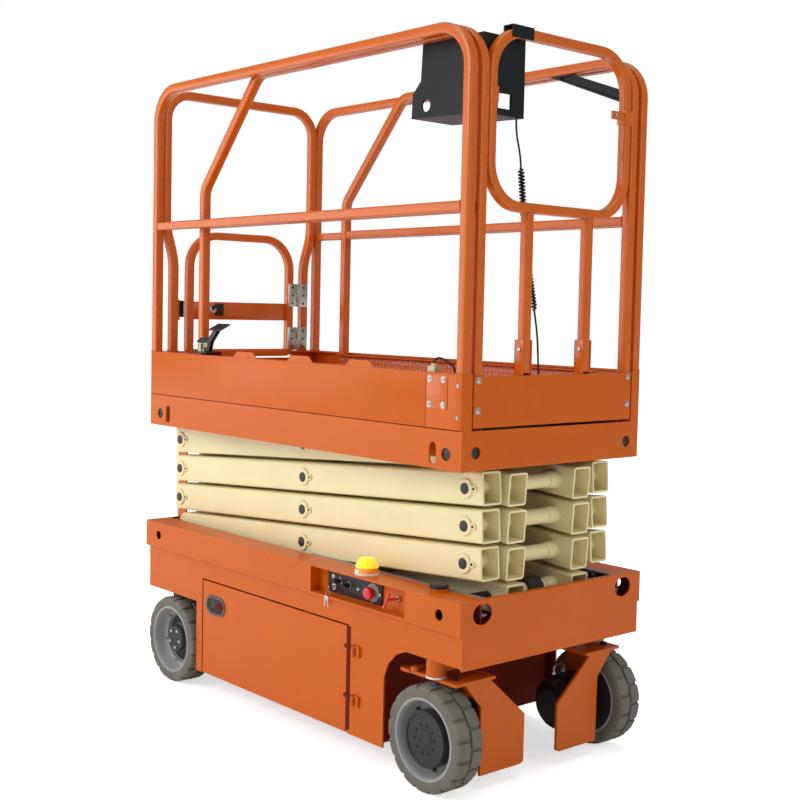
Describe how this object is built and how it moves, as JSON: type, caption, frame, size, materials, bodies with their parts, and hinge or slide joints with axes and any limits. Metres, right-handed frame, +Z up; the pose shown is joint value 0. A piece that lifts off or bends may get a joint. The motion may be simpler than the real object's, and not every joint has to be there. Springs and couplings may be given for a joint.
{
  "type": "scissor lift",
  "caption": "Self-propelled electric scissor lift with a four-level arm stack, sliding extension deck, guard rails, entry gate, rear ladder and steered front wheels.",
  "frame": {"origin": "on the ground under the middle of the whole machine, half way between the ladder at the rear and the front tyres", "axes": "+X to the steered front end, +Y to the machine's left, +Z up"},
  "size_m": [1.847, 0.82, 2.2503],
  "materials": {
    "body_orange": "gloss orange paint",
    "arm_cream": "satin cream paint",
    "tyre_grey": "non-marking grey rubber",
    "rim_grey": "grey paint",
    "motor_black": "satin black",
    "panel_black": "matt black",
    "box_black": "textured black powder coat",
    "cord_black": "black rubber",
    "beacon_amber": "amber lens",
    "cap_black": "black plastic",
    "track_grey": "bare steel",
    "battery_grey": "battery case",
    "hydraulic_grey": "satin dark grey",
    "hinge_steel": "stainless steel",
    "barrel_black": "black paint",
    "rod_chrome": "hard chrome",
    "gland_grey": "grey plastic",
    "pedal_black": "black paint"
  },
  "bodies": {
    "chassis": {"chassis_frame": "body_orange", "front_axle": "body_orange", "rear_axle": "body_orange", "battery_pack": "battery_grey", "hydraulic_unit": "hydraulic_grey", "ground_panel": "panel_black", "beacon": "beacon_amber", "rim_cap": "cap_black", "guide_tracks": "track_grey", "ladder": "body_orange", "hatch_hinges": "body_orange"},
    "right_hatch": {"hatch_right": "body_orange"},
    "left_hatch": {"hatch_left": "body_orange"},
    "right_knuckle": {"knuckle_right": "body_orange", "drive_motor_right": "motor_black"},
    "left_knuckle": {"knuckle_left": "body_orange", "drive_motor_left": "motor_black"},
    "steering_bar": {"tie_bar": "body_orange"},
    "front_right_wheel": {"front_right_tyre": "tyre_grey", "front_right_rim": "rim_grey"},
    "front_left_wheel": {"front_left_tyre": "tyre_grey", "front_left_rim": "rim_grey"},
    "rear_right_wheel": {"rear_right_tyre": "tyre_grey", "rear_right_rim": "rim_grey"},
    "rear_left_wheel": {"rear_left_tyre": "tyre_grey", "rear_left_rim": "rim_grey"},
    "outer_1": {"outer_arms_1": "arm_cream"},
    "inner_1": {"inner_arms_1": "arm_cream"},
    "outer_2": {"outer_arms_2": "arm_cream"},
    "inner_2": {"inner_arms_2": "arm_cream"},
    "outer_3": {"outer_arms_3": "arm_cream"},
    "inner_3": {"inner_arms_3": "arm_cream"},
    "outer_4": {"outer_arms_4": "arm_cream"},
    "inner_4": {"inner_arms_4": "arm_cream"},
    "lift_barrel": {"cylinder_barrel": "barrel_black"},
    "lift_rod": {"cylinder_rod": "rod_chrome"},
    "platform": {"platform_frame": "body_orange", "deck": "body_orange", "side_rails": "body_orange", "rear_rail": "body_orange", "gate_hinges": "hinge_steel", "cable_gland": "gland_grey", "toe_cable": "cord_black"},
    "entry_gate": {"gate": "body_orange"},
    "extension": {"extension_deck": "body_orange", "extension_rails": "body_orange", "front_rail": "body_orange", "control_box": "box_black", "rail_channel": "box_black", "foot_pedal": "pedal_black", "cord_upper_lead": "cord_black", "cord_coil": "cord_black", "cord_lower_lead": "cord_black"}
  },
  "joints": [
    {"name": "lift", "type": "hinge", "parent": "chassis", "child": "outer_1", "pos_m": [-0.8035, 0, 0.565], "axis": [0, -1, 0], "range_deg": [0, 52]},
    {"name": "inner_1_turn", "type": "hinge", "parent": "outer_1", "child": "inner_1", "pos_m": [-0.0055, 0, 0.621], "axis": [0, -1, 0], "range_deg": [-104, 0]},
    {"name": "outer_2_turn", "type": "hinge", "parent": "inner_1", "child": "outer_2", "pos_m": [-0.8035, 0, 0.677], "axis": [0, -1, 0], "range_deg": [0, 104]},
    {"name": "inner_2_turn", "type": "hinge", "parent": "outer_2", "child": "inner_2", "pos_m": [-0.0055, 0, 0.733], "axis": [0, -1, 0], "range_deg": [-104, 0]},
    {"name": "outer_3_turn", "type": "hinge", "parent": "inner_2", "child": "outer_3", "pos_m": [-0.8035, 0, 0.789], "axis": [0, -1, 0], "range_deg": [0, 104]},
    {"name": "inner_3_turn", "type": "hinge", "parent": "outer_3", "child": "inner_3", "pos_m": [-0.0055, 0, 0.845], "axis": [0, -1, 0], "range_deg": [-104, 0]},
    {"name": "outer_4_turn", "type": "hinge", "parent": "inner_3", "child": "outer_4", "pos_m": [-0.8035, 0, 0.901], "axis": [0, -1, 0], "range_deg": [0, 104]},
    {"name": "inner_4_turn", "type": "hinge", "parent": "outer_4", "child": "inner_4", "pos_m": [-0.0055, 0, 0.957], "axis": [0, -1, 0], "range_deg": [-104, 0]},
    {"name": "platform_level", "type": "hinge", "parent": "inner_4", "child": "platform", "pos_m": [-0.8035, 0, 1.013], "axis": [0, -1, 0], "range_deg": [0, 52]},
    {"name": "barrel_turn", "type": "hinge", "parent": "inner_1", "child": "lift_barrel", "pos_m": [0.7925, 0, 0.565], "axis": [0, -1, 0], "range_deg": [-11.97, 0]},
    {"name": "rod_slide", "type": "slide", "parent": "lift_barrel", "child": "lift_rod", "axis": [-0.9916, 0, 0.129], "range_m": [0, 1.18685]},
    {"name": "deck_extend", "type": "slide", "parent": "platform", "child": "extension", "axis": [1, 0, 0], "range_m": [0, 0.9]},
    {"name": "gate_swing", "type": "hinge", "parent": "platform", "child": "entry_gate", "pos_m": [-0.8135, 0.274, 0], "axis": [0, 0, 1], "range_deg": [0, 90]},
    {"name": "right_hatch_swing", "type": "hinge", "parent": "chassis", "child": "right_hatch", "pos_m": [0.4265, -0.403, 0], "axis": [0, 0, 1], "range_deg": [0, 100]},
    {"name": "left_hatch_swing", "type": "hinge", "parent": "chassis", "child": "left_hatch", "pos_m": [0.4265, 0.403, 0], "axis": [0, 0, -1], "range_deg": [0, 100]},
    {"name": "steer", "type": "hinge", "parent": "chassis", "child": "right_knuckle", "pos_m": [0.7635, -0.36, 0], "axis": [0, 0, 1], "range_deg": [-60, 60]},
    {"name": "steer_left", "type": "hinge", "parent": "chassis", "child": "left_knuckle", "pos_m": [0.7635, 0.36, 0], "axis": [0, 0, 1], "range_deg": [-60, 60]},
    {"name": "steer_bar_turn", "type": "hinge", "parent": "right_knuckle", "child": "steering_bar", "pos_m": [0.6735, -0.36, 0], "axis": [0, 0, 1], "range_deg": [-60, 60]},
    {"name": "front_right_spin", "type": "hinge", "parent": "right_knuckle", "child": "front_right_wheel", "pos_m": [0.7635, -0.36, 0.16], "axis": [0, 1, 0], "continuous": true},
    {"name": "front_left_spin", "type": "hinge", "parent": "left_knuckle", "child": "front_left_wheel", "pos_m": [0.7635, 0.36, 0.16], "axis": [0, 1, 0], "continuous": true},
    {"name": "rear_right_spin", "type": "hinge", "parent": "chassis", "child": "rear_right_wheel", "pos_m": [-0.6635, -0.36, 0.16], "axis": [0, 1, 0], "continuous": true},
    {"name": "rear_left_spin", "type": "hinge", "parent": "chassis", "child": "rear_left_wheel", "pos_m": [-0.6635, 0.36, 0.16], "axis": [0, 1, 0], "continuous": true}
  ],
  "couplings": [
    {"joint": "inner_1_turn", "follows": "lift", "ratio": -2},
    {"joint": "outer_2_turn", "follows": "lift", "ratio": 2},
    {"joint": "inner_2_turn", "follows": "lift", "ratio": -2},
    {"joint": "outer_3_turn", "follows": "lift", "ratio": 2},
    {"joint": "inner_3_turn", "follows": "lift", "ratio": -2},
    {"joint": "outer_4_turn", "follows": "lift", "ratio": 2},
    {"joint": "inner_4_turn", "follows": "lift", "ratio": -2},
    {"joint": "platform_level", "follows": "lift", "ratio": 1},
    {"joint": "barrel_turn", "follows": "lift", "ratio": -0.23001},
    {"joint": "rod_slide", "follows": "lift", "m_per_rad": 1.3075},
    {"joint": "steer_left", "follows": "steer", "ratio": 1},
    {"joint": "steer_bar_turn", "follows": "steer", "ratio": -1}
  ]
}
